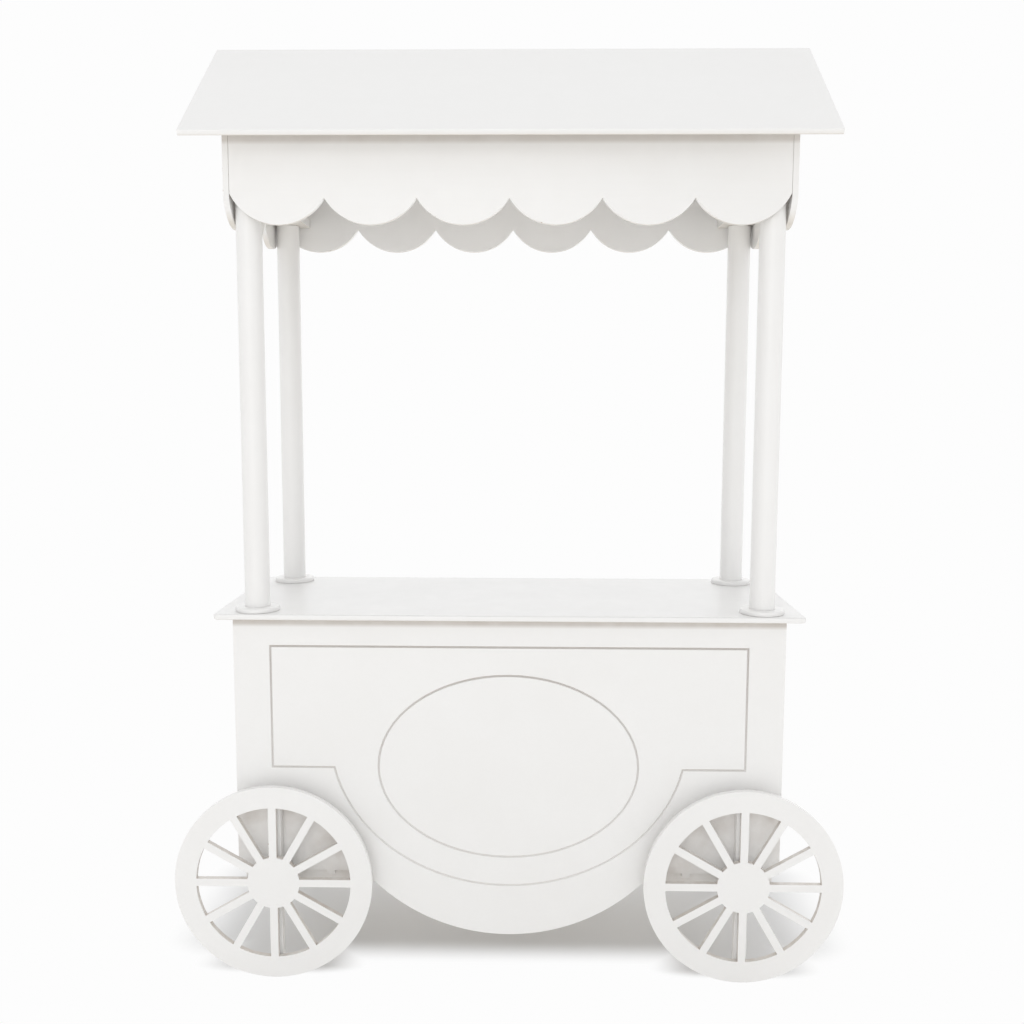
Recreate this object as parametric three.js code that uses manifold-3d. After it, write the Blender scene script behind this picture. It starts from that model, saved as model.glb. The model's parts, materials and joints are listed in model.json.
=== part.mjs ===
import * as THREE from "three";
import { mergeVertices } from "three/addons/utils/BufferGeometryUtils.js";
import Module from "manifold-3d";

// Candy buffet cart: a cabinet on four legs with two spoked front wheels, and a scalloped,
// gable-roofed canopy on four round posts. Millimetres, +Z up, the front faces -Y, the floor
// is z = 0, and the left side lies on -X.

// Boards, battens and fits
const boardThickness = 12;
const battenWidth = 30; // square section of the cabinet's corner battens
const cleatWidth = 20; // square section of the light cleats and rafters
const jointGap = 0.3; // glue and paint line between two fixed pieces
const runningClearance = 0.08; // radial, between a wheel's pin and its bush
const cutOverrun = 4; // how far a cutter runs past the face that it opens

// Counter
const counterLength = 1220;
const counterDepth = 460;
const counterHeight = 775; // top face above the floor
const counterCornerRadius = 12;
const counterEdgeRadius = 3.5;

// Cabinet
const counterEndOverhang = 38; // of the counter past the cabinet at each end
const counterLongOverhang = 15; // at the front and at the rear
const lowerBayHeight = 247; // clear height between base board and shelf
const railHeight = 30;
const railDepth = 40;
const rearApronHeight = 111; // from the underside of the rails
const bellyDrop = 139; // how far the round belly hangs below the front panel's straight edge
const bellyRadius = 405;
const tabInset = 196; // from the panel's end to the middle of its small lower tab
const tabWidth = 17;
const tabDrop = 9;

// Routed lines of the front panel
const grooveWidth = 5;
const grooveDepth = 2.5;
const grooveFloorWidth = 1;
const grooveTopInset = 57; // below the panel's top edge
const grooveSideInset = 77;
const grooveFieldHeight = 259; // height of the rectangular field beside the belly
const grooveBellyInset = 109; // above the belly's lowest point
const grooveBellyHalfWidth = 372; // of the ellipse that the line follows round the belly
const grooveBellyHalfHeight = 317;
const ovalDrop = 256; // the oval's centre below the groove's top line
const ovalHalfWidth = 272;
const ovalHalfHeight = 196;

// Legs
const legWidth = 27;
const legThickness = 21;
const frontLegHeight = 390;

// Wheels
const wheelRadius = 207;
const wheelRimWidth = 45;
const wheelHubRadius = 55;
const wheelSpokeWidth = 16;
const wheelSpokeCount = 12;
const wheelThickness = 12;
const axleInset = 82; // from the cabinet's end to the axle's centre
const wheelClearance = 2; // between the rim and the floor
const axleDrop = 12; // the axle lies this far below the front panel's straight edge

// Pivot of a wheel
const pinRadius = 6;
const pinChamfer = 1;
const hubPlateRadius = 30;
const hubPlateThickness = 3;
const bushRadius = 9;
const bushFlangeRadius = 12;
const bushFlangeThickness = 2;
const railBoreClearance = 1;
const collarRadius = 10;
const collarThickness = 8;
const collarPlay = 0.5;
const pinOverhang = 3; // what stands out behind the collar

// Posts and their base flanges
const postRadius = 26;
const postEndInset = 82; // from the counter's end to a post's axis
const postLength = 841;
const flangeRadius = 46;
const flangeThickness = 9;
const flangeEdgeRadius = 3;
const flangeInset = 6; // from the counter's long edge to the flange

// Canopy
const postClearance = 2; // between a post and the boards around it
const topRailWidth = 74;
const topRailThickness = 20;
const valanceHang = 56; // from the top rail's underside to the scallops' lowest points
const scallopDrop = 52; // from the cusps between the scallops to their lowest points
const endScallopShare = 1.05; // outer half of an end scallop at the front, against an inner half
const frontScallopCount = 6;
const sideScallopCount = 3;
const eaveLift = 156; // the eave's underside above the scallops' lowest points
const eaveOverhang = 66; // past the valance on all four sides
const roofRise = 244; // from the eave's underside to the top of the ridge
const roofEdgeRadius = 3;
const ridgeBattenWidth = 44;
const ridgeBattenHeight = 40;

// Facets
const circleSegments = 48;
const wheelSegments = 96;
const bellySegments = 40;
const ovalSegments = 64;
const scallopSegments = 20;
const roundingSegments = 3;
const coincident = 0.01; // two outline points closer than this are one

// The cabinet under its counter
const cabinetLength = counterLength - 2 * counterEndOverhang;
const cabinetDepth = counterDepth - 2 * counterLongOverhang;

// Derived heights
const axleHeight = wheelRadius + wheelClearance;
const panelBottom = axleHeight + axleDrop;
const counterUnderside = counterHeight - boardThickness;
const panelTop = counterUnderside - jointGap;
const baseTop = panelBottom + boardThickness;
const railTop = panelBottom - jointGap;
const railBottom = railTop - railHeight;
const shelfUnderside = baseTop + lowerBayHeight;
const rearApronTop = railBottom + rearApronHeight;
const bellyBottom = panelBottom - bellyDrop;
const postBottom = counterHeight + jointGap;
const topRailUnderside = postBottom + postLength + jointGap;
const topRailTop = topRailUnderside + topRailThickness;
const scallopBottom = topRailUnderside - valanceHang;
const eaveHeight = scallopBottom + eaveLift;

// Derived depths, front pieces first. The wheel stands in front of its leg, on its bush.
const panelFront = -cabinetDepth / 2;
const panelBack = panelFront + boardThickness;
const innerFront = panelBack + jointGap;
const legBack = panelFront - jointGap;
const legFront = legBack - legThickness;
const bushFlangeBack = legFront - jointGap;
const bushFlangeFront = bushFlangeBack - bushFlangeThickness;
const hubPlateBack = bushFlangeFront - jointGap;
const hubPlateFront = hubPlateBack - hubPlateThickness;
const wheelBack = hubPlateFront - jointGap;
const wheelFront = wheelBack - wheelThickness;
const railBack = innerFront + railDepth;
const collarFront = railBack + collarPlay;
const collarBack = collarFront + collarThickness;
const pinEnd = collarBack + pinOverhang;

// Derived distances from the middle
const sideInner = cabinetLength / 2 - boardThickness;
const innerHalfLength = sideInner - jointGap;
const innerHalfDepth = -innerFront;
const wheelReach = cabinetLength / 2 - axleInset;
const postReach = counterLength / 2 - postEndInset;
const postInset = counterDepth / 2 - flangeInset - flangeRadius;
const valanceInnerReach = postReach + postRadius + postClearance;
const valanceInnerDepth = postInset + postRadius + postClearance;
const canopyHalfLength = valanceInnerReach + boardThickness;
const canopyHalfDepth = valanceInnerDepth + boardThickness;
const roofHalfLength = canopyHalfLength + eaveOverhang;
const roofRun = canopyHalfDepth + eaveOverhang;

// The slope's underside runs from the eave to the ridge, its top face one board above it.
const slopeAngle =
  Math.acos(boardThickness / Math.hypot(roofRise, roofRun)) - Math.atan2(roofRun, roofRise);
const slopeGap = jointGap / Math.cos(slopeAngle);

const wasm = await Module();
wasm.setup();

const whitePaint = new THREE.MeshStandardMaterial({ color: 0xf1efeb, roughness: 0.5, metalness: 0 });
const innerPaint = new THREE.MeshStandardMaterial({ color: 0xebe8e2, roughness: 0.65, metalness: 0 });
const zincSteel = new THREE.MeshStandardMaterial({ color: 0xb9bcc0, roughness: 0.35, metalness: 1 });
const nylon = new THREE.MeshStandardMaterial({ color: 0xe6e2d6, roughness: 0.45, metalness: 0 });

function mesh(name, geometry, material) {
  const made = new THREE.Mesh(geometry, material);
  made.name = name;
  return made;
}

// An upright or lying block given by its limits along X, Y and Z.
function block(name, [x0, x1], [y0, y1], [z0, z1], material) {
  const geometry = new THREE.BoxGeometry(x1 - x0, y1 - y0, z1 - z0);
  const made = mesh(name, geometry, material);
  made.position.set((x0 + x1) / 2, (y0 + y1) / 2, (z0 + z1) / 2);
  return made;
}

function solidFrom(geometry) {
  const plain = geometry.index ? geometry.toNonIndexed() : geometry.clone();
  plain.deleteAttribute("normal");
  plain.deleteAttribute("uv");
  const merged = mergeVertices(plain);
  return new wasm.Manifold(
    new wasm.Mesh({
      numProp: 3,
      vertProperties: new Float32Array(merged.attributes.position.array),
      triVerts: new Uint32Array(merged.index.array),
    }),
  );
}

function geometryFrom(solid) {
  const { vertProperties, triVerts } = solid.getMesh();
  const indexed = new THREE.BufferGeometry();
  indexed.setAttribute("position", new THREE.BufferAttribute(vertProperties, 3));
  indexed.setIndex(new THREE.BufferAttribute(triVerts, 1));
  const geometry = indexed.toNonIndexed();
  geometry.computeVertexNormals();
  return geometry;
}

function cut(geometry, cutters) {
  const cutAway = (solid, cutter) => solid.subtract(solidFrom(cutter));
  return geometryFrom(cutters.reduce(cutAway, solidFrom(geometry)));
}

function point(x, y) {
  return new THREE.Vector2(x, y);
}

function arc(centreX, centreY, radius, startAngle, endAngle, segments) {
  const points = [];
  for (let step = 0; step <= segments; step += 1) {
    const angle = startAngle + ((endAngle - startAngle) * step) / segments;
    points.push(point(centreX + radius * Math.cos(angle), centreY + radius * Math.sin(angle)));
  }
  return points;
}

function mirrored(points) {
  return points.map(({ x, y }) => point(-x, y)).reverse();
}

// A closed outline without the doubled points that touching arcs and lines leave.
function outline(points) {
  const apart = (here, index) => {
    const previous = points[(index + points.length - 1) % points.length];
    return here.distanceTo(previous) > coincident;
  };
  return new THREE.Shape(points.filter(apart));
}

// An outline drawn in X and Z, as a board whose front face lies at the given depth.
function frontBoard(shape, frontDepth, thickness) {
  const geometry = new THREE.ExtrudeGeometry(shape, { depth: thickness, bevelEnabled: false });
  return geometry.rotateX(Math.PI / 2).translate(0, frontDepth + thickness, 0);
}

// An outline drawn in Y and Z, carried along X from one place to the other.
function alongX(shape, fromX, toX) {
  const geometry = new THREE.ExtrudeGeometry(shape, { depth: toX - fromX, bevelEnabled: false });
  return geometry.rotateX(Math.PI / 2).rotateZ(Math.PI / 2).translate(fromX, 0, 0);
}

// A turned piece whose profile is drawn as radius and distance along Y.
function turnedAboutY(profile) {
  return new THREE.LatheGeometry(profile, circleSegments);
}

function turnedAboutZ(profile) {
  return turnedAboutY(profile).rotateX(Math.PI / 2);
}

function boreAlongY(radius, fromY, toY) {
  const length = toY - fromY + 2 * cutOverrun;
  const cylinder = new THREE.CylinderGeometry(radius, radius, length, circleSegments);
  return cylinder.translate(0, (fromY + toY) / 2, 0);
}

const sides = [
  { word: "left", sign: -1 },
  { word: "right", sign: 1 },
];
const ends = [
  { word: "front", sign: -1 },
  { word: "rear", sign: 1 },
];

// Limits of a strip that lies on one side of the middle, nearest and furthest distance given.
function mirroredSpan(sign, near, far) {
  return sign < 0 ? [-far, -near] : [near, far];
}

// Front panel

function ellipse(centreHeight, halfWidth, halfHeight, startAngle, endAngle, segments) {
  const unit = arc(0, 0, 1, startAngle, endAngle, segments);
  return unit.map(({ x, y }) => point(x * halfWidth, centreHeight + y * halfHeight));
}

// The part below topHeight of an ellipse whose lowest point is at lowestHeight.
function belly(halfWidth, halfHeight, lowestHeight, topHeight) {
  const centreHeight = lowestHeight + halfHeight;
  const endAngle = Math.asin((centreHeight - topHeight) / halfHeight);
  const left = Math.PI + endAngle;
  const right = 2 * Math.PI - endAngle;
  return ellipse(centreHeight, halfWidth, halfHeight, left, right, bellySegments);
}

function frontPanelOutline() {
  const half = cabinetLength / 2;
  const tabOuter = half - tabInset + tabWidth / 2;
  const tabInner = tabOuter - tabWidth;
  const rightSide = [
    point(tabInner, panelBottom),
    point(tabInner, panelBottom - tabDrop),
    point(tabOuter, panelBottom - tabDrop),
    point(tabOuter, panelBottom),
    point(half, panelBottom),
    point(half, panelTop),
  ];
  const roundEdge = belly(bellyRadius, bellyRadius, bellyBottom, panelBottom);
  return outline([...roundEdge, ...rightSide, ...mirrored(rightSide)]);
}

// The closed line routed round the panel, moved outward by `shift`.
function bandOutline(shift) {
  const top = panelTop - grooveTopInset + shift;
  const side = cabinetLength / 2 - grooveSideInset + shift;
  const step = panelTop - grooveTopInset - grooveFieldHeight - shift;
  const lowest = bellyBottom + grooveBellyInset - shift;
  const halfWidth = grooveBellyHalfWidth + shift;
  const line = belly(halfWidth, grooveBellyHalfHeight + shift, lowest, step);
  return [...line, point(side, step), point(side, top), point(-side, top), point(-side, step)];
}

function ovalOutline(shift) {
  const centre = panelTop - grooveTopInset - ovalDrop;
  const halfWidth = ovalHalfWidth + shift;
  return ellipse(centre, halfWidth, ovalHalfHeight + shift, 0, 2 * Math.PI, ovalSegments);
}

// A cutter that follows a closed line and narrows with depth to the groove's flat floor.
function grooveCutter(lineOutline) {
  const ring = outline(lineOutline(grooveWidth / 2));
  ring.holes.push(new THREE.Path(outline(lineOutline(-grooveWidth / 2)).getPoints()));
  const flank = (grooveWidth - grooveFloorWidth) / 2;
  const geometry = new THREE.ExtrudeGeometry(ring, {
    depth: cutOverrun,
    bevelEnabled: true,
    bevelThickness: grooveDepth,
    bevelSize: flank,
    bevelOffset: -flank,
    bevelSegments: 1,
  });
  return geometry.rotateX(Math.PI / 2).translate(0, panelFront, 0);
}

function frontPanel() {
  const panel = frontBoard(frontPanelOutline(), panelFront, boardThickness);
  const grooved = cut(panel, [grooveCutter(bandOutline), grooveCutter(ovalOutline)]);
  return mesh("front_panel", grooved, whitePaint);
}

// Rest of the cabinet

function sidePanel({ word, sign }) {
  const across = mirroredSpan(sign, sideInner, cabinetLength / 2);
  const deep = [innerFront, -panelFront];
  return block(`side_panel_${word}`, across, deep, [panelBottom, panelTop], whitePaint);
}

function baseBoard() {
  const across = [-innerHalfLength, innerHalfLength];
  return block("base_board", across, [innerFront, innerHalfDepth], [panelBottom, baseTop], innerPaint);
}

// The shelf is notched round the four corner battens.
function shelf() {
  const notch = battenWidth + jointGap;
  const x = innerHalfLength;
  const y = innerHalfDepth;
  const rightSide = [
    point(x - notch, -y),
    point(x - notch, notch - y),
    point(x, notch - y),
    point(x, y - notch),
    point(x - notch, y - notch),
    point(x - notch, y),
  ];
  const shape = outline([...rightSide, ...mirrored(rightSide)]);
  const geometry = new THREE.ExtrudeGeometry(shape, { depth: boardThickness, bevelEnabled: false });
  const made = mesh("shelf", geometry, innerPaint);
  made.position.z = shelfUnderside;
  return made;
}

function shelfCleat({ word, sign }) {
  const across = mirroredSpan(sign, innerHalfLength - cleatWidth, innerHalfLength);
  const reach = innerHalfDepth - battenWidth - jointGap;
  const top = shelfUnderside - jointGap;
  return block(`shelf_cleat_${word}`, across, [-reach, reach], [top - cleatWidth, top], innerPaint);
}

function rearApron() {
  const across = [-innerHalfLength, innerHalfLength];
  const deep = [-panelBack, -panelFront];
  return block("rear_apron", across, deep, [railBottom, rearApronTop], whitePaint);
}

// Bores for the wheels' pins, through a piece that lies between two depths.
function axleBores(radius, fromY, toY) {
  return sides.map(({ sign }) =>
    boreAlongY(radius, fromY, toY).translate(sign * wheelReach, 0, axleHeight),
  );
}

function frontRail() {
  const geometry = new THREE.BoxGeometry(2 * innerHalfLength, railDepth, railHeight);
  geometry.translate(0, (innerFront + railBack) / 2, (railBottom + railTop) / 2);
  const bored = cut(geometry, axleBores(pinRadius + railBoreClearance, innerFront, railBack));
  return mesh("rail_front", bored, innerPaint);
}

function rearRail() {
  const across = [-innerHalfLength, innerHalfLength];
  return block("rail_rear", across, [-railBack, innerHalfDepth], [railBottom, railTop], innerPaint);
}

function crossRail({ word, sign }) {
  const across = mirroredSpan(sign, innerHalfLength - railDepth, innerHalfLength);
  const deep = [railBack + jointGap, -railBack - jointGap];
  return block(`rail_${word}`, across, deep, [railBottom, railTop], innerPaint);
}

function cornerBatten(end, side) {
  const across = mirroredSpan(side.sign, innerHalfLength - battenWidth, innerHalfLength);
  const deep = mirroredSpan(end.sign, innerHalfDepth - battenWidth, innerHalfDepth);
  const tall = [baseTop + jointGap, panelTop];
  return block(`corner_batten_${end.word}_${side.word}`, across, deep, tall, innerPaint);
}

function counterCleat({ word, sign }) {
  const reach = innerHalfLength - battenWidth - jointGap;
  const deep = mirroredSpan(sign, innerHalfDepth - battenWidth, innerHalfDepth);
  const tall = [panelTop - battenWidth, panelTop];
  return block(`counter_cleat_${word}`, [-reach, reach], deep, tall, innerPaint);
}

function counterTop() {
  const x = counterLength / 2 - counterCornerRadius;
  const y = counterDepth / 2 - counterCornerRadius;
  const corner = (centreX, centreY, turns) => {
    const start = (turns * Math.PI) / 2;
    const stop = start + Math.PI / 2;
    return arc(centreX, centreY, counterCornerRadius, start, stop, 2 * roundingSegments);
  };
  const rear = [...corner(x, y, 0), ...corner(-x, y, 1)];
  const front = [...corner(-x, -y, 2), ...corner(x, -y, 3)];
  const shape = outline([...rear, ...front]);
  const geometry = new THREE.ExtrudeGeometry(shape, {
    depth: boardThickness - 2 * counterEdgeRadius,
    bevelEnabled: true,
    bevelThickness: counterEdgeRadius,
    bevelSize: counterEdgeRadius,
    bevelOffset: -counterEdgeRadius,
    bevelSegments: roundingSegments,
  });
  const made = mesh("counter_top", geometry, whitePaint);
  made.position.z = counterUnderside + counterEdgeRadius;
  return made;
}

// Legs: the front pair is bored for the wheels' bushes.

function frontLeg({ word, sign }) {
  const geometry = new THREE.BoxGeometry(legWidth, legThickness, frontLegHeight);
  geometry.translate(0, (legFront + legBack) / 2, frontLegHeight / 2);
  const bore = boreAlongY(bushRadius + jointGap, legFront, legBack).translate(0, 0, axleHeight);
  const made = mesh(`leg_front_${word}`, cut(geometry, [bore]), whitePaint);
  made.position.x = sign * wheelReach;
  return made;
}

function rearLeg({ word, sign }) {
  const across = mirroredSpan(sign, wheelReach - legWidth / 2, wheelReach + legWidth / 2);
  return block(`leg_rear_${word}`, across, [-legBack, -legFront], [0, rearApronTop], whitePaint);
}

// Wheels: each is cut from one board, its windows bounded by two arcs and two spoke flanks.

function wheelWindow(index) {
  const pitch = (2 * Math.PI) / wheelSpokeCount;
  const start = index * pitch;
  const stop = start + pitch;
  const rim = wheelRadius - wheelRimWidth;
  const hub = wheelHubRadius;
  const atRim = Math.asin(wheelSpokeWidth / 2 / rim);
  const atHub = Math.asin(wheelSpokeWidth / 2 / hub);
  const rimArc = arc(0, 0, rim, start + atRim, stop - atRim, 2 * roundingSegments);
  const hubArc = arc(0, 0, hub, stop - atHub, start + atHub, roundingSegments);
  return new THREE.Path([...rimArc, ...hubArc]);
}

function wheelBoard() {
  const shape = outline(arc(0, 0, wheelRadius, 0, 2 * Math.PI, wheelSegments));
  for (let index = 0; index < wheelSpokeCount; index += 1) {
    shape.holes.push(wheelWindow(index));
  }
  return frontBoard(shape, wheelFront, wheelThickness);
}

// A round plate screwed to the back of the hub, with the pin that turns in the leg's bush.
function wheelSpindle() {
  return turnedAboutY([
    point(0, hubPlateFront),
    point(hubPlateRadius, hubPlateFront),
    point(hubPlateRadius, hubPlateBack),
    point(pinRadius, hubPlateBack),
    point(pinRadius, pinEnd - pinChamfer),
    point(pinRadius - pinChamfer, pinEnd),
    point(0, pinEnd),
  ]);
}

function ringProfile(innerRadius, outerRadius, from, to) {
  return [
    point(innerRadius, from),
    point(outerRadius, from),
    point(outerRadius, to),
    point(innerRadius, to),
    point(innerRadius, from),
  ];
}

function axleBush() {
  const bore = pinRadius + runningClearance;
  return turnedAboutY([
    point(bore, bushFlangeFront),
    point(bushFlangeRadius, bushFlangeFront),
    point(bushFlangeRadius, bushFlangeBack),
    point(bushRadius, bushFlangeBack),
    point(bushRadius, legBack),
    point(bore, legBack),
    point(bore, bushFlangeFront),
  ]);
}

function axleCollar() {
  return turnedAboutY(ringProfile(pinRadius + jointGap, collarRadius, collarFront, collarBack));
}

function wheelSet({ word, sign }) {
  const set = new THREE.Group();
  set.add(mesh(`wheel_${word}`, wheelBoard(), whitePaint));
  set.add(mesh(`wheel_spindle_${word}`, wheelSpindle(), zincSteel));
  set.add(mesh(`axle_collar_${word}`, axleCollar(), zincSteel));
  set.add(mesh(`axle_bush_${word}`, axleBush(), nylon));
  set.position.set(sign * wheelReach, 0, axleHeight);
  return set;
}

// Posts

function post(end, side) {
  const geometry = new THREE.CylinderGeometry(postRadius, postRadius, postLength, circleSegments);
  geometry.rotateX(Math.PI / 2);
  const made = mesh(`post_${end.word}_${side.word}`, geometry, whitePaint);
  made.position.set(side.sign * postReach, end.sign * postInset, postBottom + postLength / 2);
  return made;
}

function baseFlange(end, side) {
  const bore = postRadius + jointGap;
  const crown = arc(
    flangeRadius - flangeEdgeRadius,
    flangeThickness - flangeEdgeRadius,
    flangeEdgeRadius,
    0,
    Math.PI / 2,
    roundingSegments,
  );
  const profile = [
    point(bore, 0),
    point(flangeRadius, 0),
    ...crown,
    point(bore, flangeThickness),
    point(bore, 0),
  ];
  const made = mesh(`base_flange_${end.word}_${side.word}`, turnedAboutZ(profile), whitePaint);
  made.position.set(side.sign * postReach, end.sign * postInset, postBottom);
  return made;
}

// Canopy

// The lower edge of a valance, from its left end to its right end: equal round scallops that fill
// the span, the outer half of the two end ones wider or narrower by a share.
function scallops(span, count, endShare) {
  const pitch = span / (count - 1 + endShare);
  const half = pitch / 2;
  const radius = (half ** 2 + scallopDrop ** 2) / (2 * scallopDrop);
  const centreHeight = scallopBottom + radius;
  const cuspAngle = Math.acos(half / radius);
  const endAngle = Math.acos((half * endShare) / radius);
  const points = [];
  for (let index = 0; index < count; index += 1) {
    const centre = half * endShare - span / 2 + index * pitch;
    const start = Math.PI + (index === 0 ? endAngle : cuspAngle);
    const stop = 2 * Math.PI - (index === count - 1 ? endAngle : cuspAngle);
    points.push(...arc(centre, centreHeight, radius, start, stop, scallopSegments));
  }
  return points;
}

// Height of the slope's underside at a distance from the ridge line.
function undersideAt(distance) {
  return eaveHeight + (roofRun - distance) * Math.tan(slopeAngle);
}

function valance({ word, sign }) {
  const reach = valanceInnerReach - jointGap;
  const top = undersideAt(canopyHalfDepth) - slopeGap;
  const lowerEdge = scallops(2 * reach, frontScallopCount, endScallopShare);
  const shape = outline([...lowerEdge, point(reach, top), point(-reach, top)]);
  const front = sign < 0 ? -canopyHalfDepth : valanceInnerDepth;
  return mesh(`valance_${word}`, frontBoard(shape, front, boardThickness), whitePaint);
}

// A gable is a side valance and the triangle under the roof in one board.
function gable({ word, sign }) {
  const reach = canopyHalfDepth;
  const shape = outline([
    ...scallops(2 * reach, sideScallopCount, 1),
    point(reach, undersideAt(reach) - slopeGap),
    point(0, undersideAt(0) - slopeGap),
    point(-reach, undersideAt(reach) - slopeGap),
  ]);
  const [from, to] = mirroredSpan(sign, valanceInnerReach, canopyHalfLength);
  return mesh(`gable_${word}`, alongX(shape, from, to), whitePaint);
}

function topRail({ word, sign }) {
  const reach = valanceInnerReach - jointGap;
  const across = mirroredSpan(sign, reach - topRailWidth, reach);
  const deep = valanceInnerDepth - jointGap;
  return block(`top_rail_${word}`, across, [-deep, deep], [topRailUnderside, topRailTop], innerPaint);
}

// A valance rail lies under the roof slope, behind the valance and between the corner blocks.
function valanceRail({ word, sign }) {
  const reach = valanceInnerReach - 2 * jointGap - cleatWidth;
  const outer = valanceInnerDepth - jointGap;
  const deep = mirroredSpan(sign, outer - cleatWidth, outer);
  const top = undersideAt(outer) - slopeGap;
  return block(`valance_rail_${word}`, [-reach, reach], deep, [top - battenWidth, top], innerPaint);
}

function canopyBlock(end, side) {
  const x = valanceInnerReach - jointGap;
  const y = valanceInnerDepth - jointGap;
  const across = mirroredSpan(side.sign, x - cleatWidth, x);
  const deep = mirroredSpan(end.sign, y - cleatWidth, y);
  const tall = [topRailTop + jointGap, undersideAt(y) - slopeGap];
  return block(`canopy_block_${end.word}_${side.word}`, across, deep, tall, innerPaint);
}

// Cross section of the front slope, mitred at the ridge and rounded along the eave.
function slopeSection() {
  const run = point(-Math.cos(slopeAngle), -Math.sin(slopeAngle));
  const up = point(-Math.sin(slopeAngle), Math.cos(slopeAngle));
  const from = (along, above) =>
    point(-roofRun, eaveHeight).addScaledVector(run, -along).addScaledVector(up, above);
  const r = roofEdgeRadius;
  const lower = from(r, r);
  const upper = from(r, boardThickness - r);
  const below = slopeAngle - Math.PI / 2;
  const outward = slopeAngle - Math.PI;
  const above = outward - Math.PI / 2;
  const lowerArc = arc(lower.x, lower.y, r, below, outward, roundingSegments);
  const upperArc = arc(upper.x, upper.y, r, outward, above, roundingSegments);
  const mitre = jointGap / 2;
  const mitreFoot = undersideAt(mitre);
  const mitreHead = mitreFoot + boardThickness / Math.cos(slopeAngle);
  return [point(-mitre, mitreHead), point(-mitre, mitreFoot), ...lowerArc, ...upperArc].reverse();
}

function roofSlope({ word, sign }) {
  const section = slopeSection();
  const shape = outline(sign < 0 ? section : mirrored(section));
  return mesh(`roof_slope_${word}`, alongX(shape, -roofHalfLength, roofHalfLength), whitePaint);
}

function ridgeBatten() {
  const half = ridgeBattenWidth / 2;
  const head = undersideAt(0) - slopeGap;
  const shoulder = undersideAt(half) - slopeGap;
  const foot = head - ridgeBattenHeight;
  const shape = outline([
    point(0, head),
    point(-half, shoulder),
    point(-half, foot),
    point(half, foot),
    point(half, shoulder),
  ]);
  const reach = valanceInnerReach - jointGap;
  return mesh("ridge_batten", alongX(shape, -reach, reach), innerPaint);
}

function rafter(end, side) {
  const near = ridgeBattenWidth / 2 + jointGap;
  const far = valanceInnerDepth - 2 * jointGap - cleatWidth;
  const top = (distance) => undersideAt(distance) - slopeGap;
  const section = [
    point(-near, top(near)),
    point(-far, top(far)),
    point(-far, top(far) - cleatWidth),
    point(-near, top(near) - cleatWidth),
  ];
  const shape = outline(end.sign < 0 ? section : mirrored(section));
  const reach = valanceInnerReach - jointGap;
  const [from, to] = mirroredSpan(side.sign, reach - cleatWidth, reach);
  return mesh(`rafter_${end.word}_${side.word}`, alongX(shape, from, to), innerPaint);
}

// Assembly

function everyCorner(make) {
  return ends.flatMap((end) => sides.map((side) => make(end, side)));
}

function cabinet() {
  const group = new THREE.Group();
  group.add(frontPanel(), baseBoard(), shelf(), rearApron(), frontRail(), rearRail(), counterTop());
  group.add(...sides.map(sidePanel), ...sides.map(crossRail), ...sides.map(shelfCleat));
  group.add(...everyCorner(cornerBatten), ...ends.map(counterCleat));
  group.add(...sides.map(frontLeg), ...sides.map(rearLeg));
  return group;
}

function canopy() {
  const group = new THREE.Group();
  group.add(...everyCorner(post), ...everyCorner(baseFlange));
  group.add(...sides.map(topRail), ...ends.map(valanceRail), ...everyCorner(canopyBlock));
  group.add(...ends.map(valance), ...sides.map(gable));
  group.add(...ends.map(roofSlope), ridgeBatten(), ...everyCorner(rafter));
  return group;
}

const cart = new THREE.Group();
cart.add(cabinet(), canopy(), ...sides.map(wheelSet));

export default cart;
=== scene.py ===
# Looks of the candy buffet cart: paint, rounded edges, screws, studio and camera. Metres.
import json
import math

import bmesh
import bpy
from mathutils import Matrix, Vector


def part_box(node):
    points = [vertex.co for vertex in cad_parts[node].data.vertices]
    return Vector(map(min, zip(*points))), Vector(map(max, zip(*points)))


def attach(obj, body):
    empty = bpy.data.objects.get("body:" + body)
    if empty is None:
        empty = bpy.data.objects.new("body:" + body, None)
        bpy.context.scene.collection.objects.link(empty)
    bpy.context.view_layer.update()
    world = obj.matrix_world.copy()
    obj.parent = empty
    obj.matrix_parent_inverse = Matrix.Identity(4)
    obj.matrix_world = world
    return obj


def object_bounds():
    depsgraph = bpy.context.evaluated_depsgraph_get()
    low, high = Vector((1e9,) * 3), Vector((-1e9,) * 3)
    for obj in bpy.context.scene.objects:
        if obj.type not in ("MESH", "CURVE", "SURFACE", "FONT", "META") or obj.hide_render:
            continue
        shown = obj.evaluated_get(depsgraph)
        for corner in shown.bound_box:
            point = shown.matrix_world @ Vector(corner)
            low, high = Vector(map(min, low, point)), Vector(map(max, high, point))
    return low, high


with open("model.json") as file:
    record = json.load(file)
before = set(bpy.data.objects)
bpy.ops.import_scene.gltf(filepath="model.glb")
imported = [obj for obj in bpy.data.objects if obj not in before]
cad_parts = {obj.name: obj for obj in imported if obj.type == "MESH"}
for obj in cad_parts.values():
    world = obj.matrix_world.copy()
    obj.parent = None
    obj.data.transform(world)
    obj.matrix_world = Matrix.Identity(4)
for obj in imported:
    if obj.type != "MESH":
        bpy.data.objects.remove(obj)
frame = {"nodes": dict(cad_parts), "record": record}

cad_low, cad_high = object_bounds()
spindle_low, spindle_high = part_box("wheel_spindle_right")
axle = (spindle_low + spindle_high) / 2

# Camera, where the photograph was taken from
IMAGE_PIXELS = 1024
FOCAL_PIXELS = 1078.6
SENSOR_MM = 36.0
CAMERA_PLACE = Vector((0.0467, -2.4016, 1.2318))
CAMERA_PITCH = math.radians(6.356)  # downward
CAMERA_YAW = math.radians(-1.045)
CAMERA_ROLL = math.radians(0.147)

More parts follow.
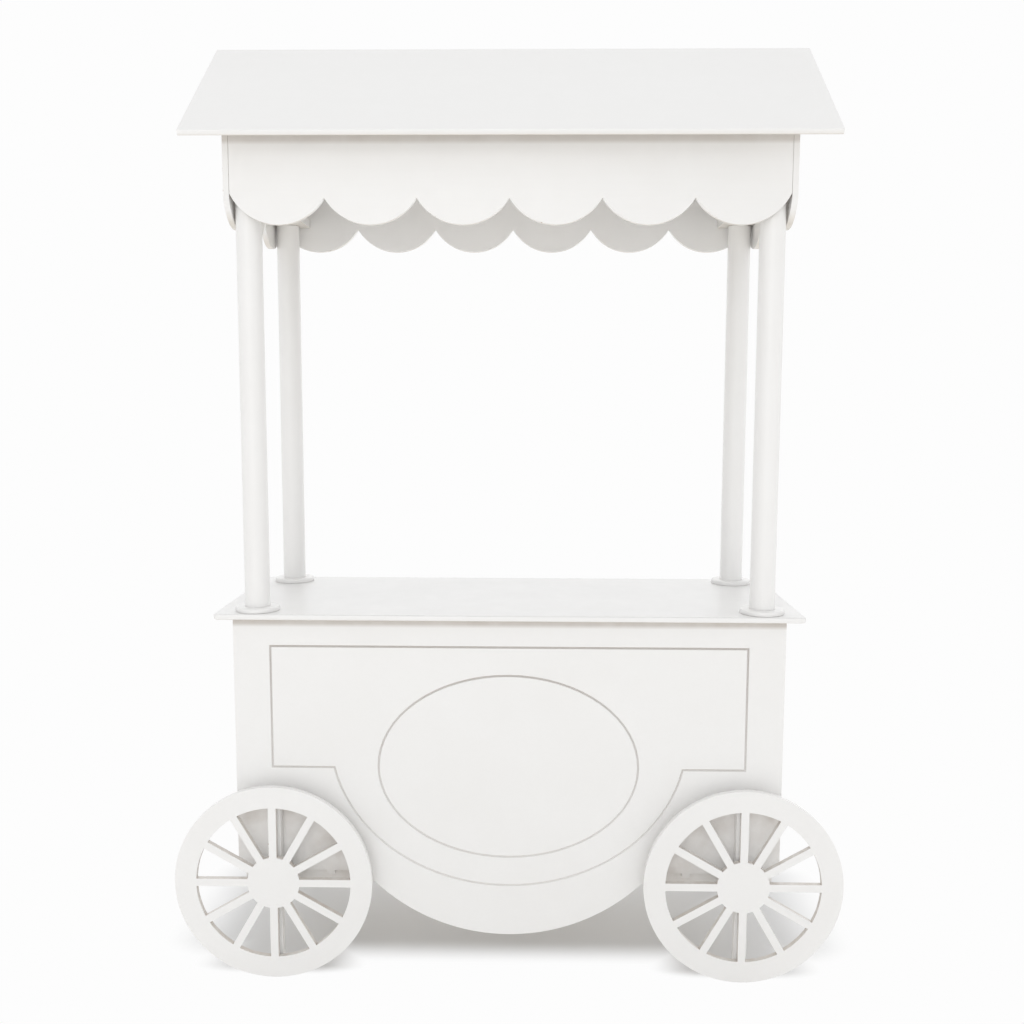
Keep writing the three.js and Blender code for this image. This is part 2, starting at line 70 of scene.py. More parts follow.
# Light
BACKGROUND_COLOUR = (0.982, 0.982, 0.982, 1)
SKY_COLOUR = (0.993, 0.999, 1.008, 1)
SKY_EVEN = 0.49  # light from everywhere
SKY_LOBES = (  # direction and strength of the light of each wall
    ((0, -0.7, 0.714), 0.55),
    ((0, 0.98, 0.2), 2.40),
    ((0, 0, 1), 0.45),
    ((0.98, 0, 0.2), 0.40),
    ((-0.98, 0, 0.2), 0.08),
)
SKY_LOBE_POWER = 4  # the higher, the narrower
SOFT_BOXES = (  # power, size, place
    (20.6, (2.64, 1.98), Vector((-0.88, -5.72, 3.33))),
    (24.8, (3.96, 2.64), Vector((-0.99, -6.38, 1.13))),
)
SOFT_BOX_AIM = Vector((0, 0, 1.35))

# Floor
FLOOR_HALF_WIDTH = 60
FLOOR_BOUNCE = (0.95, 0.935, 0.912, 1)
FLOOR_SHADED = 0.66  # what the floor shows of the light near the cart
FLOOR_GLOW = 0.02  # what it shows there without any light
SHADE_ZONES = (  # middle, half span with the full shadow, and how much further out it is gone
    ((0, 0.08), (0.60, 0.165), (0.18, 0.105)),
    ((axle.x, -0.10), (0.07, 0.10), (0.12, 0.04)),  # under each wheel
)

# Patterns of noise: grains per metre, detail, roughness, and the values that count as none and
# as full
PATTERNS = {
    "blotches": (5, 4, 0.6, 0.35, 0.70),
    "streaks": (160, 3, 0.5, 0.40, 0.75),
    "dust_and_shade": (11, 5, 0.65, 0.30, 0.75),
    "overhang_shade_patches": (30, 3, 0.5, 0.30, 0.70),
    "wheel_shade_patches": (26, 4, 0.5, 0.35, 0.65),
    "wear": (55, 3, 0.5, 0.30, 0.70),
    "chips": (240, 2, 0.5, 0.64, 0.69),
    "chipped_spots": (17, 2, 0.5, 0.58, 0.66),
    "gloss": (34, 3, 0.5, 0.30, 0.70),
    "zinc": (240, 4, 0.7, 0.35, 0.70),
    "nylon": (90, 3, 0.5, 0.35, 0.70),
}

# Paint, by material slot: colour, roughness
PAINTS = {
    "white_board": ((0.885, 0.879, 0.868, 1), 0.42),
    "inner_board": ((0.870, 0.860, 0.840, 1), 0.58),
}
ROUGHNESS_LESS, ROUGHNESS_MORE = 0.06, 0.08  # how far the roughness strays
COAT = (0.4, 0.2)  # weight and roughness of the sheen
STROKE_LENGTH = 26  # how much longer than wide a brush mark is
RELIEF = (  # grains per metre, detail, height, and whether it is drawn out along the board
    (420, 3, 0.6, True),  # brush marks
    (900, 2, 0.4, False),  # stipple of a roller
    (14, 2, 4.0, False),  # waves
)
RELIEF_HEIGHT = 0.00012
SHADE_COLOUR = (0.855, 0.845, 0.828, 1)
BLOTCH_COVER = 0.5
STREAK_COVER = 0.22
UNDERSIDE_SHADE_COLOUR = (0.740, 0.700, 0.640, 1)  # painted shade on faces that look down, darker and warmer than the paint
UNDERSIDE_SHADE_SLOPES = (-0.9, -0.6)  # upward part of the normal, from full painted shade to none
CHIP_COLOUR = (0.400, 0.270, 0.160, 1)

# Dust and painted shade on top; painted shade in corners, grooves, under overhangs and behind the
# wheels; LEAST is the share that is left of each where its pattern is thinnest
# faces that look up are darker: dust and painted shade
DUST_AND_SHADE_COLOUR = (0.855, 0.848, 0.835, 1)
DUST_AND_SHADE_SLOPES = (0.4, 0.9)  # upward part of the normal, from no dust and painted shade to all of it
DUST_AND_SHADE_LEAST = 0.55
# painted shade in corners, under overhangs and behind the wheels
PAINTED_SHADE_COLOUR = (0.400, 0.332, 0.272, 1)
CORNER_SHADE_REACH = 0.007
CORNER_SHADE_SAMPLES = 6
CORNER_SHADE_OPENNESS = (0.20, 0.75)  # how open a corner is, from full painted shade to none
CORNER_SHADE_COVER = 0.42
GROOVE_SHADE_COLOUR = (0.260, 0.205, 0.165, 1)  # painted shade in the routed lines of the front panel
GROOVE_SHADE_OPENNESS = (0.55, 0.92)
GROOVE_SHADE_HEIGHTS = (0.22, 0.72)  # the painted shade grows from the lower lines to the upper ones
GROOVE_SHADE_COVERS = (0.16, 0.66)
SHADED_OVERHANGS = {  # where the painted shade under an overhang ends, and how much of the paint it covers
    "front_panel": (0.7502, 0.56),
    "side_panel": (0.7502, 0.56),
    "valance": (1.7190, 0.43),
    "gable": (1.7190, 0.43),
}
OVERHANG_SHADE_BLUR = 0.004
OVERHANG_SHADE_LEAST = 0.8
OVERHANG_SHADE_FACING = (-0.7, -0.3)  # rearward part of the normal, from full painted shade to none
# painted shadow where the wheels shade the boards behind them
SHADED_BEHIND_WHEELS = ("front_panel", "rail_front")
WHEEL_SHADE = 0.46  # how much of the paint the painted shade covers behind the wheels
WHEEL_SHADE_HUB = 0.25  # the share of it behind the hub
WHEEL_SHADE_LEAST = 0.45
WHEEL_SHADE_RADII = (0.080, 0.145, 0.160, 0.184)  # from hub to full and back to none
WHEEL_SHADE_FACING = (-0.5, 0)
CUT_PAINT_AND_SHADE_COLOUR = (0.470, 0.400, 0.330, 1)  # thin paint and painted shade on the cut sides of the spokes
CUT_COVER = 0.62
CUT_LEAST = 0.55
CUT_RADII = (0.170, 0.174)  # from full to none
CUT_FACING = (0.3, 0.7)  # part of the normal along the axle, from full to none

# What differs on some kinds of piece
KINDS = (*SHADED_OVERHANGS, "rail_front", "wheel", "counter_top", "base_flange", "post")
UNBRUSHED = ("front_panel", "wheel")
# how much painted shade goes into the corners of some kinds
CORNER_SHADE_COVERS = {"base_flange": 0.10, "post": 0.10, "counter_top": 0.10}
COATS = {"counter_top": (1.0, 0.30)}
# the counter's top is darker still: dust and painted shade
DUST_AND_SHADE_COLOURS = {"counter_top": (0.775, 0.768, 0.757, 1)}

# Bare materials: two colours, two roughnesses, metal or not, grains per metre and height of the
# relief
BARE = {
    "zinc": (
        ((0.62, 0.63, 0.65, 1), (0.50, 0.51, 0.52, 1)),
        (0.28, 0.48),
        1,
        (3000, 0.00003),
    ),
    "nylon": (
        ((0.78, 0.75, 0.68, 1), (0.70, 0.66, 0.58, 1)),
        (0.38, 0.52),
        0,
        (2200, 0.00002),
    ),
}

# Rounded edges
PAINTED_EDGE = 0.0009
PAINTED_EDGES = {"counter_top": 0.004, "base_flange": 0.0004}
METAL_EDGE = 0.0003
SCREW_EDGE = 0.00012
EDGE_SEGMENTS = 3
SCREW_EDGE_SEGMENTS = 2
WELD_DISTANCE = 0.00001
LARGE_FACES_FIRST = 100  # weight of large faces in the normals
BEVEL_FROM_ANGLE = math.radians(60)
SMOOTH_BELOW_ANGLE = math.radians(35)
FLAT_ANGLE = math.radians(1)
UNPIERCED = ("valance_", "gable_")  # boards whose flat faces can become one face each

# Screws
BOARD_SCREW = (0.0039, 0.0019)  # radius, height of a head
PLATE_SCREW = (0.0034, 0.0011)
GRUB_SCREW = (0.0022, 0.0010)
SCREW_SIDES = 24
SCREW_RINGS = (  # shares of radius and height, from the base to the rim of the flat top
    (1.0, 0.0),
    (1.0, 0.22),
    (0.94, 0.52),
    (0.82, 0.80),
    (0.66, 1.0),
)
CROSS_REACH, CROSS_HALF_WIDTH = 0.50, 0.115  # of the radius
CROSS_DEPTH, CROSS_TAPER = 0.85, 0.72  # of the height, of the width
PLATE_SCREWS = 4
PLATE_SCREW_RING = 0.021  # radius round the axle
PLATE_BACK = 0.0033  # from the back of a wheel to the back of its plate
SCREW_TURN = 2.4  # from each screw to the next, in radians
GRUB_TURN = 0.5
FACES = {"left": (0, -1), "right": (0, 1), "front": (1, -1), "rear": (1, 1), "under": (2, -1)}


def make_camera():
    cos_pitch, sin_pitch = math.cos(CAMERA_PITCH), math.sin(CAMERA_PITCH)
    cos_yaw, sin_yaw = math.cos(CAMERA_YAW), math.sin(CAMERA_YAW)
    forward = Vector((sin_yaw * cos_pitch, cos_yaw * cos_pitch, -sin_pitch))
    right = Vector((cos_yaw, -sin_yaw, 0))
    up = right.cross(forward)
    turn = Matrix.Rotation(CAMERA_ROLL, 3, -forward)
    rotation = Matrix((turn @ right, turn @ up, -forward)).transposed()
    data = bpy.data.cameras.new("camera")
    data.sensor_width = SENSOR_MM
    data.lens = FOCAL_PIXELS / IMAGE_PIXELS * SENSOR_MM
    camera = bpy.data.objects.new("camera", data)
    camera.matrix_world = Matrix.Translation(CAMERA_PLACE) @ rotation.to_4x4()
    bpy.context.scene.collection.objects.link(camera)
    bpy.context.scene.camera = camera


class Nodes:
    """Short calls for building a node tree."""

    def __init__(self, tree):
        self.tree = tree
        tree.nodes.clear()

    def add(self, kind, **values):
        node = self.tree.nodes.new(kind)
        for name, value in values.items():
            setattr(node, name, value)
        return node

    def link(self, source, target):
        self.tree.links.new(source, target)

    def put(self, value, target):
        if isinstance(value, bpy.types.NodeSocket):
            self.link(value, target)
        else:
            target.default_value = value

    def math(self, operation, first, second=0):
        node = self.add("ShaderNodeMath", operation=operation)
        self.put(first, node.inputs[0])
        self.put(second, node.inputs[1])
        return node.outputs[0]

    def split(self, vector):
        """The outputs X, Y and Z of a vector."""
        node = self.add("ShaderNodeSeparateXYZ")
        self.link(vector, node.inputs[0])
        return node.outputs

    def remap(self, value, from_low, from_high, to_low=0, to_high=1):
        node = self.add("ShaderNodeMapRange")
        limits = (from_low, from_high, to_low, to_high)
        names = ("From Min", "From Max", "To Min", "To Max")
        for name, limit in zip(names, limits):
            node.inputs[name].default_value = limit
        self.link(value, node.inputs["Value"])
        return node.outputs["Result"]

    def mix(self, share, first, second):
        """The first colour where the share is 0, the second where it is 1."""
        node = self.add("ShaderNodeMix", data_type="RGBA")
        self.put(share, node.inputs["Factor"])
        self.put(first, node.inputs["A"])
        self.put(second, node.inputs["B"])
        return node.outputs["Result"]

    def either(self, share, first, second):
        """The first shader where the share is 0, the second where it is 1."""
        node = self.add("ShaderNodeMixShader")
        for source, target in zip((share, first, second), node.inputs):
            self.link(source, target)
        return node.outputs[0]

    def noise(self, place, scale, detail=2, roughness=0.5, stretch=(1, 1, 1)):
        """Noise whose grains measure 1 / scale, longer by `stretch` along each axis."""
        mapping = self.add("ShaderNodeMapping")
        mapping.inputs["Scale"].default_value = [scale / s for s in stretch]
        self.link(place, mapping.inputs["Vector"])
        node = self.add("ShaderNodeTexNoise")
        node.inputs["Scale"].default_value = 1
        node.inputs["Detail"].default_value = detail
        node.inputs["Roughness"].default_value = roughness
        self.link(mapping.outputs["Vector"], node.inputs["Vector"])
        return node.outputs["Fac"]

    def pattern(self, place, name, least=0, most=1, stretch=(1, 1, 1)):
        """A share that varies over the surface from least to most."""
        scale, detail, roughness, none, full = PATTERNS[name]
        noise = self.noise(place, scale, detail, roughness, stretch)
        return self.remap(noise, none, full, least, most)

    def bump(self, height, distance):
        node = self.add("ShaderNodeBump")
        node.inputs["Distance"].default_value = distance
        self.link(height, node.inputs["Height"])
        return node.outputs["Normal"]

    def seen_directly(self):
        """1 for rays of the camera, of mirrors and of glass, 0 for light that falls on things."""
        path = self.add("ShaderNodeLightPath")
        direct = self.math("MAXIMUM", path.outputs["Is Camera Ray"], path.outputs["Is Glossy Ray"])
        return self.math("MAXIMUM", direct, path.outputs["Is Transmission Ray"])


def new_material(name):
    material = bpy.data.materials.new(name)
    material.use_nodes = True
    nodes = Nodes(material.node_tree)
    shader = nodes.add("ShaderNodeBsdfPrincipled")
    output = nodes.add("ShaderNodeOutputMaterial")
    nodes.link(shader.outputs["BSDF"], output.inputs["Surface"])
    return material, nodes, shader


def object_place(nodes):
    return nodes.add("ShaderNodeTexCoord").outputs["Object"]


def make_sky():
    """White walls round the studio, each with its own strength; the camera sees plain white."""
    world = bpy.data.worlds.new("studio")
    world.use_nodes = True
    nodes = Nodes(world.node_tree)
    direction = nodes.add("ShaderNodeTexCoord").outputs["Generated"]
    strength = SKY_EVEN
    for towards, amount in SKY_LOBES:
        facing = nodes.add("ShaderNodeVectorMath", operation="DOT_PRODUCT")
        nodes.link(direction, facing.inputs[0])
        facing.inputs[1].default_value = towards
        ahead = nodes.math("MAXIMUM", facing.outputs["Value"], 0)
        lobe = nodes.math("MULTIPLY", nodes.math("POWER", ahead, SKY_LOBE_POWER), amount)
        strength = nodes.math("ADD", lobe, strength)
    light = nodes.add("ShaderNodeBackground")
    light.inputs["Color"].default_value = SKY_COLOUR
    nodes.link(strength, light.inputs["Strength"])
    seen = nodes.add("ShaderNodeBackground")
    seen.inputs["Color"].default_value = BACKGROUND_COLOUR
    output = nodes.add("ShaderNodeOutputWorld")
    surface = nodes.either(nodes.seen_directly(), light.outputs[0], seen.outputs[0])
    nodes.link(surface, output.inputs["Surface"])
    bpy.context.scene.world = world


def from_shade(nodes):
    """How far a place of the floor is outside the shadow: 0 within it, 1 where it is gone."""
    place = nodes.split(object_place(nodes))
    across = nodes.math("ABSOLUTE", place["X"])
    distance = 1
    for zone in SHADE_ZONES:
        outside = []
        for share, middle, half_span, fade in zip((across, place["Y"]), *zone):
            from_middle = nodes.math("ABSOLUTE", nodes.math("SUBTRACT", share, middle))
            beyond = nodes.math("MAXIMUM", nodes.math("SUBTRACT", from_middle, half_span), 0)
            outside.append(nodes.math("POWER", nodes.math("DIVIDE", beyond, fade), 2))
        straight = nodes.math("SQRT", nodes.math("ADD", *outside))
        distance = nodes.math("MINIMUM", straight, distance)
    faded = nodes.add("ShaderNodeMapRange", interpolation_type="SMOOTHSTEP")
    nodes.link(distance, faded.inputs["Value"])
    return faded.outputs["Result"]


def make_floor():
    """Pale floor whose seen colour passes from the cart's shadow into the background."""
    bpy.ops.mesh.primitive_plane_add(size=2 * FLOOR_HALF_WIDTH, location=(0, 0, cad_low.z))
    floor = bpy.context.object
    floor.name = "floor"
    material = bpy.data.materials.new("floor_paper")
    material.use_nodes = True
    nodes = Nodes(material.node_tree)
    bounce = nodes.add("ShaderNodeBsdfDiffuse")
    bounce.inputs["Color"].default_value = FLOOR_BOUNCE
    shaded = nodes.add("ShaderNodeBsdfDiffuse")
    shaded.inputs["Color"].default_value = (FLOOR_SHADED,) * 3 + (1,)
    glow = nodes.add("ShaderNodeEmission")
    glow.inputs["Color"].default_value = (FLOOR_GLOW,) * 3 + (1,)
    near = nodes.add("ShaderNodeAddShader")
    nodes.link(shaded.outputs[0], near.inputs[0])
    nodes.link(glow.outputs[0], near.inputs[1])
    far = nodes.add("ShaderNodeEmission")
    far.inputs["Color"].default_value = BACKGROUND_COLOUR
    seen = nodes.either(from_shade(nodes), near.outputs[0], far.outputs[0])
    surface = nodes.either(nodes.seen_directly(), bounce.outputs[0], seen)
    output = nodes.add("ShaderNodeOutputMaterial")
    nodes.link(surface, output.inputs["Surface"])
    floor.data.materials.append(material)


def make_lamps():
    """Two soft boxes far behind the camera, one high and one low."""
    for number, (power, size, place) in enumerate(SOFT_BOXES):
        data = bpy.data.lights.new(f"soft_box_{number}", "AREA")
        data.shape = "RECTANGLE"
        data.size, data.size_y = size
        data.energy = power
        lamp = bpy.data.objects.new(data.name, data)
        lamp.location = place
        lamp.rotation_mode = "QUATERNION"
        lamp.rotation_quaternion = (place - SOFT_BOX_AIM).to_track_quat("Z", "Y")
        bpy.context.scene.collection.objects.link(lamp)


def paint_height(nodes, place, stretch):
    """Brush marks along the board, the stipple of a roller and slow waves."""
    height = 0
    for scale, detail, amount, drawn_out in RELIEF:
        grains = nodes.noise(place, scale, detail, stretch=stretch if drawn_out else (1, 1, 1))
        height = nodes.math("ADD", nodes.math("MULTIPLY", grains, amount), height)
    return height


def from_axles(nodes, place):
    """The distance from the nearer axle's line."""
    parts = nodes.split(place)
    aside = nodes.math("SUBTRACT", nodes.math("ABSOLUTE", parts["X"]), axle.x)
    above = nodes.math("SUBTRACT", parts["Z"], axle.z)
    squares = nodes.math("ADD", nodes.math("POWER", aside, 2), nodes.math("POWER", above, 2))
    return nodes.math("SQRT", squares)


def cut_sides(nodes, place, facing_along):
    """The share of thin paint and painted shade on the cut sides of a wheel's windows."""
    sideways = nodes.remap(nodes.math("ABSOLUTE", facing_along), *CUT_FACING, CUT_COVER, 0)
    inside = nodes.remap(from_axles(nodes, place), *CUT_RADII, 1, 0)
    cut_patches = nodes.pattern(place, "wear", CUT_LEAST)
    return nodes.math("MULTIPLY", nodes.math("MULTIPLY", sideways, inside), cut_patches)


def shade_under_overhang(nodes, place, facing_along, kind):
    """The share of painted shade in a strip under the eave or under the counter."""
    bottom, cover = SHADED_OVERHANGS[kind]
    limits = (bottom - OVERHANG_SHADE_BLUR, bottom + OVERHANG_SHADE_BLUR)
    strip = nodes.remap(nodes.split(place)["Z"], *limits, 0, cover)
    if kind == "gable":  # its sides go on above the eave
        strip = nodes.math("MULTIPLY", strip, nodes.remap(facing_along, *OVERHANG_SHADE_FACING, 1, 0))
    return nodes.math("MULTIPLY", strip, nodes.pattern(place, "overhang_shade_patches", OVERHANG_SHADE_LEAST))


def shade_behind_wheel(nodes, place, facing_along):
    """The share of painted shade behind the wheels, where they shadow the boards."""
    radius = from_axles(nodes, place)
    hub, full, edge, outside = WHEEL_SHADE_RADII
    ring = nodes.remap(radius, hub, full, WHEEL_SHADE_HUB * WHEEL_SHADE, WHEEL_SHADE)
    disc = nodes.math("MULTIPLY", ring, nodes.remap(radius, edge, outside, 1, 0))
    patchy = nodes.math("MULTIPLY", disc, nodes.pattern(place, "wheel_shade_patches", WHEEL_SHADE_LEAST))
    return nodes.math("MULTIPLY", patchy, nodes.remap(facing_along, *WHEEL_SHADE_FACING, 1, 0))


def shade_in_grooves(nodes, place, openness):
    """The share of painted shade in the routed lines."""
    most = nodes.remap(nodes.split(place)["Z"], *GROOVE_SHADE_HEIGHTS, *GROOVE_SHADE_COVERS)
    return nodes.math("MULTIPLY", nodes.remap(openness, *GROOVE_SHADE_OPENNESS, 1, 0), most)


def add_painted_shade(nodes, body, place, facing_along, kind):
    """Painted shade in corners and grooves, under overhangs and behind the wheels."""
    routed = kind == "front_panel"
    corners = nodes.add("ShaderNodeAmbientOcclusion", samples=CORNER_SHADE_SAMPLES, only_local=routed)
    corners.inputs["Distance"].default_value = CORNER_SHADE_REACH
    openness = corners.outputs["AO"]
    if routed:
        body = nodes.mix(shade_in_grooves(nodes, place, openness), body, GROOVE_SHADE_COLOUR)
    else:
        cover = CORNER_SHADE_COVERS.get(kind, CORNER_SHADE_COVER)
        share = nodes.remap(openness, *CORNER_SHADE_OPENNESS, cover, 0)
        body = nodes.mix(share, body, PAINTED_SHADE_COLOUR)
    if kind in SHADED_OVERHANGS:
        share = shade_under_overhang(nodes, place, facing_along, kind)
        body = nodes.mix(share, body, PAINTED_SHADE_COLOUR)
    if kind in SHADED_BEHIND_WHEELS:
        body = nodes.mix(shade_behind_wheel(nodes, place, facing_along), body, PAINTED_SHADE_COLOUR)
    return body


def make_paint(name, slot, stretch, chipped, kind):
    """Satin paint over board: blotches, dust and painted shade on top, painted shade below and in
    hollows, chips on edges.
    """
    material, nodes, shader = new_material(name)
    colour, roughness = PAINTS[slot]
    place = object_place(nodes)
    normal = nodes.split(nodes.add("ShaderNodeNewGeometry").outputs["Normal"])

    blotches = nodes.pattern(place, "blotches", 0, BLOTCH_COVER)
    body = nodes.mix(blotches, colour, SHADE_COLOUR)
    streaks = nodes.pattern(place, "streaks", 0, STREAK_COVER, stretch)
    body = nodes.mix(streaks, body, SHADE_COLOUR)

    # dust and painted shade on faces that look up
    upward_share = nodes.remap(normal["Z"], *DUST_AND_SHADE_SLOPES)
    dust_and_shade = nodes.math("MULTIPLY", upward_share, nodes.pattern(place, "dust_and_shade", DUST_AND_SHADE_LEAST))
    body = nodes.mix(dust_and_shade, body, DUST_AND_SHADE_COLOURS.get(kind, DUST_AND_SHADE_COLOUR))
    # painted shade on faces that look down
    body = nodes.mix(nodes.remap(normal["Z"], *UNDERSIDE_SHADE_SLOPES, 1, 0), body, UNDERSIDE_SHADE_COLOUR)

    body = add_painted_shade(nodes, body, place, normal["Y"], kind)
    if kind == "wheel":
        body = nodes.mix(cut_sides(nodes, place, normal["Y"]), body, CUT_PAINT_AND_SHADE_COLOUR)
    if chipped:
        chips = nodes.pattern(place, "chips")
        spots = nodes.pattern(place, "chipped_spots")
        body = nodes.mix(nodes.math("MULTIPLY", chips, spots), body, CHIP_COLOUR)
    nodes.link(body, shader.inputs["Base Color"])

    weight, coat_roughness = COATS.get(kind, COAT)
    shader.inputs["Coat Weight"].default_value = weight
    shader.inputs["Coat Roughness"].default_value = coat_roughness
    limits = (roughness - ROUGHNESS_LESS, roughness + ROUGHNESS_MORE)
    nodes.link(nodes.pattern(place, "gloss", *limits), shader.inputs["Roughness"])
    relief = nodes.bump(paint_height(nodes, place, stretch), RELIEF_HEIGHT)
    nodes.link(relief, shader.inputs["Normal"])
    return material


def make_bare(name):
    """A bare material in two tones with a fine relief."""
    colours, roughnesses, metallic, (grains, height) = BARE[name]
    material, nodes, shader = new_material(name)
    place = object_place(nodes)
    share = nodes.pattern(place, name)
    nodes.link(nodes.mix(share, *colours), shader.inputs["Base Color"])
    nodes.link(nodes.remap(share, 0, 1, *roughnesses), shader.inputs["Roughness"])
    shader.inputs["Metallic"].default_value = metallic
    nodes.link(nodes.bump(nodes.noise(place, grains), height), shader.inputs["Normal"])
    return material


def make_smoothing():
    """A geometry group that shades a mesh smoothly, apart from its sharp edges."""
    group = bpy.data.node_groups.new("smooth_by_angle", "GeometryNodeTree")
    group.interface.new_socket("Geometry", in_out="INPUT", socket_type="NodeSocketGeometry")
    group.interface.new_socket("Geometry", in_out="OUTPUT", socket_type="NodeSocketGeometry")
    nodes = Nodes(group)
    entry = nodes.add("NodeGroupInput")
    leave = nodes.add("NodeGroupOutput")
    clear = nodes.add("GeometryNodeRemoveAttribute")
    clear.inputs["Name"].default_value = "custom_normal"
    faces = nodes.add("GeometryNodeSetShadeSmooth", domain="FACE")
    edges = nodes.add("GeometryNodeSetShadeSmooth", domain="EDGE")
    angle = nodes.add("GeometryNodeInputMeshEdgeAngle")
    gentle = nodes.add("FunctionNodeCompare", data_type="FLOAT", operation="LESS_THAN")
    gentle.inputs[1].default_value = SMOOTH_BELOW_ANGLE
    nodes.link(angle.outputs["Unsigned Angle"], gentle.inputs[0])
    nodes.link(entry.outputs[0], clear.inputs["Geometry"])
    nodes.link(clear.outputs["Geometry"], faces.inputs["Geometry"])
    nodes.link(faces.outputs["Geometry"], edges.inputs["Geometry"])
    nodes.link(gentle.outputs["Result"], edges.inputs["Shade Smooth"])
    nodes.link(edges.outputs["Geometry"], leave.inputs[0])
    return group


def add_bevel(piece, width, segments):
    bevel = piece.modifiers.new("edge", "BEVEL")
    bevel.width = width
    bevel.segments = segments
    bevel.limit_method = "ANGLE"
    bevel.angle_limit = BEVEL_FROM_ANGLE
    return bevel


def round_edges(piece, width, edge_slot, unpierced):
    """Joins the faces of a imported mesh, rounds its sharp edges and shades it."""
    weld = piece.modifiers.new("join", "WELD")
    weld.merge_threshold = WELD_DISTANCE
    if unpierced:
        flat = piece.modifiers.new("flat", "DECIMATE")
        flat.decimate_type = "DISSOLVE"
        flat.angle_limit = FLAT_ANGLE
    bevel = add_bevel(piece, width, EDGE_SEGMENTS)
    bevel.miter_outer = "MITER_ARC"
    bevel.material = edge_slot
    smooth = piece.modifiers.new("smooth", "NODES")
    smooth.node_group = smoothing
    weighted = piece.modifiers.new("weighted", "WEIGHTED_NORMAL")
    weighted.keep_sharp = True
    weighted.weight = LARGE_FACES_FIRST


def longest_axis(node):
    low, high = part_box(node)
    extents = list(high - low)
    return extents.index(max(extents))


def paint_pair(node, slot, kind, paints_made):
    """The paint of a node, on faces and on edges, brushed along the board."""
    axis = None if kind in UNBRUSHED else longest_axis(node)
    if (slot, axis, kind) not in paints_made:
        stretch = [1, 1, 1]
        if axis is not None:
            stretch[axis] = STROKE_LENGTH
        name = f"{slot}_{'none' if axis is None else 'xyz'[axis]}"
        faces = make_paint(name, slot, stretch, False, kind)
        edges = make_paint(name + "_edge", slot, stretch, True, kind)
        paints_made[slot, axis, kind] = (faces, edges)
    return paints_made[slot, axis, kind]


def set_materials(piece, materials):
    piece.data.materials.clear()
    for material in materials:
        piece.data.materials.append(material)


def dress_nodes(zinc):
    """Gives every CAD node its materials and its rounded edges."""
    nylon = make_bare("nylon")
    paints_made = {}
    for subpart in frame["record"]["subparts"]:
        node, slot = subpart["node"], subpart["material_slot"]
        piece = frame["nodes"][node]
        if slot in PAINTS:
            kind = next((kind for kind in KINDS if node.startswith(kind)), None)
            set_materials(piece, paint_pair(node, slot, kind, paints_made))
            width = PAINTED_EDGES.get(kind, PAINTED_EDGE)
            round_edges(piece, width, 1, node.startswith(UNPIERCED))
        else:
            set_materials(piece, [zinc if slot == "zinc_steel" else nylon])
            round_edges(piece, METAL_EDGE, 0, False)


def cross_outline(reach, half_width):
    """The twelve corners of an upright cross, anticlockwise."""
    corners = []
    for quarter in range(4):
        turn = Matrix.Rotation(math.pi / 2 * quarter, 2)
        for x, y in ((reach, -half_width), (reach, half_width), (half_width, half_width)):
            corners.append(turn @ Vector((x, y)))
    return corners


def after_each(ring):
    """Every item of a closed ring with the one after it."""
    return zip(ring, ring[1:] + ring[:1])


def join_rings(mesh, lower, upper):
    for (low, low_next), (high, high_next) in zip(after_each(lower), after_each(upper)):
        mesh.faces.new((low, low_next, high_next, high))


def screw_mesh(radius, height):
    """A domed head with a sunk cross, standing on z = 0."""
    mesh = bmesh.new()
    angles = [2 * math.pi * side / SCREW_SIDES for side in range(SCREW_SIDES)]
    rings = []
    for share, rise in SCREW_RINGS:
        reach = radius * share
        ring = [(reach * math.cos(a), reach * math.sin(a), height * rise) for a in angles]
        rings.append([mesh.verts.new(point) for point in ring])
    for lower, upper in zip(rings, rings[1:]):
        join_rings(mesh, lower, upper)
    mesh.faces.new(reversed(rings[0]))
    walls = []
    for taper, depth in ((1, 0), (CROSS_TAPER, CROSS_DEPTH)):
        size = radius * taper
        outline = cross_outline(size * CROSS_REACH, size * CROSS_HALF_WIDTH)
        walls.append([mesh.verts.new((p.x, p.y, height * (1 - depth))) for p in outline])
    join_rings(mesh, walls[0], walls[1])
    mesh.faces.new(walls[1])
    rims = [mesh.edges.get(pair) for ring in (rings[-1], walls[0]) for pair in after_each(ring)]
    bmesh.ops.triangle_fill(mesh, edges=rims, use_beauty=True, normal=(0, 0, 1))
    bmesh.ops.recalc_face_normals(mesh, faces=mesh.faces)
    data = bpy.data.meshes.new("screw")
    mesh.to_mesh(data)
    mesh.free()
    return data


screw_meshes = {}


def add_screw(name, body, place, outward, size, material, turn):
    """One screw head on a surface, facing outward."""
    if size not in screw_meshes:
        screw_meshes[size] = screw_mesh(*size)
        screw_meshes[size].materials.append(material)
    screw = bpy.data.objects.new(name, screw_meshes[size])
    facing = Vector(outward).to_track_quat("Z", "Y").to_matrix()
    spin = Matrix.Rotation(turn, 3, "Z")
    screw.matrix_world = Matrix.Translation(place) @ (facing @ spin).to_4x4()
    bpy.context.scene.collection.objects.link(screw)
    add_bevel(screw, SCREW_EDGE, SCREW_EDGE_SEGMENTS)
    smooth = screw.modifiers.new("smooth", "NODES")
    smooth.node_group = smoothing
    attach(screw, body)


def screw_face(node, face, along, shares, across=0.5):
    """A row of screws on one face of a node's box, at shares of its length."""
    axis, sense = FACES[face]
    low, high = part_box(node)
    for share in shares:
        place = low + (high - low) * across
        place[axis] = (low, high)[sense > 0][axis]
        place[along] = low[along] + (high[along] - low[along]) * share
        outward = [0, 0, 0]
        outward[axis] = sense
        yield place, outward


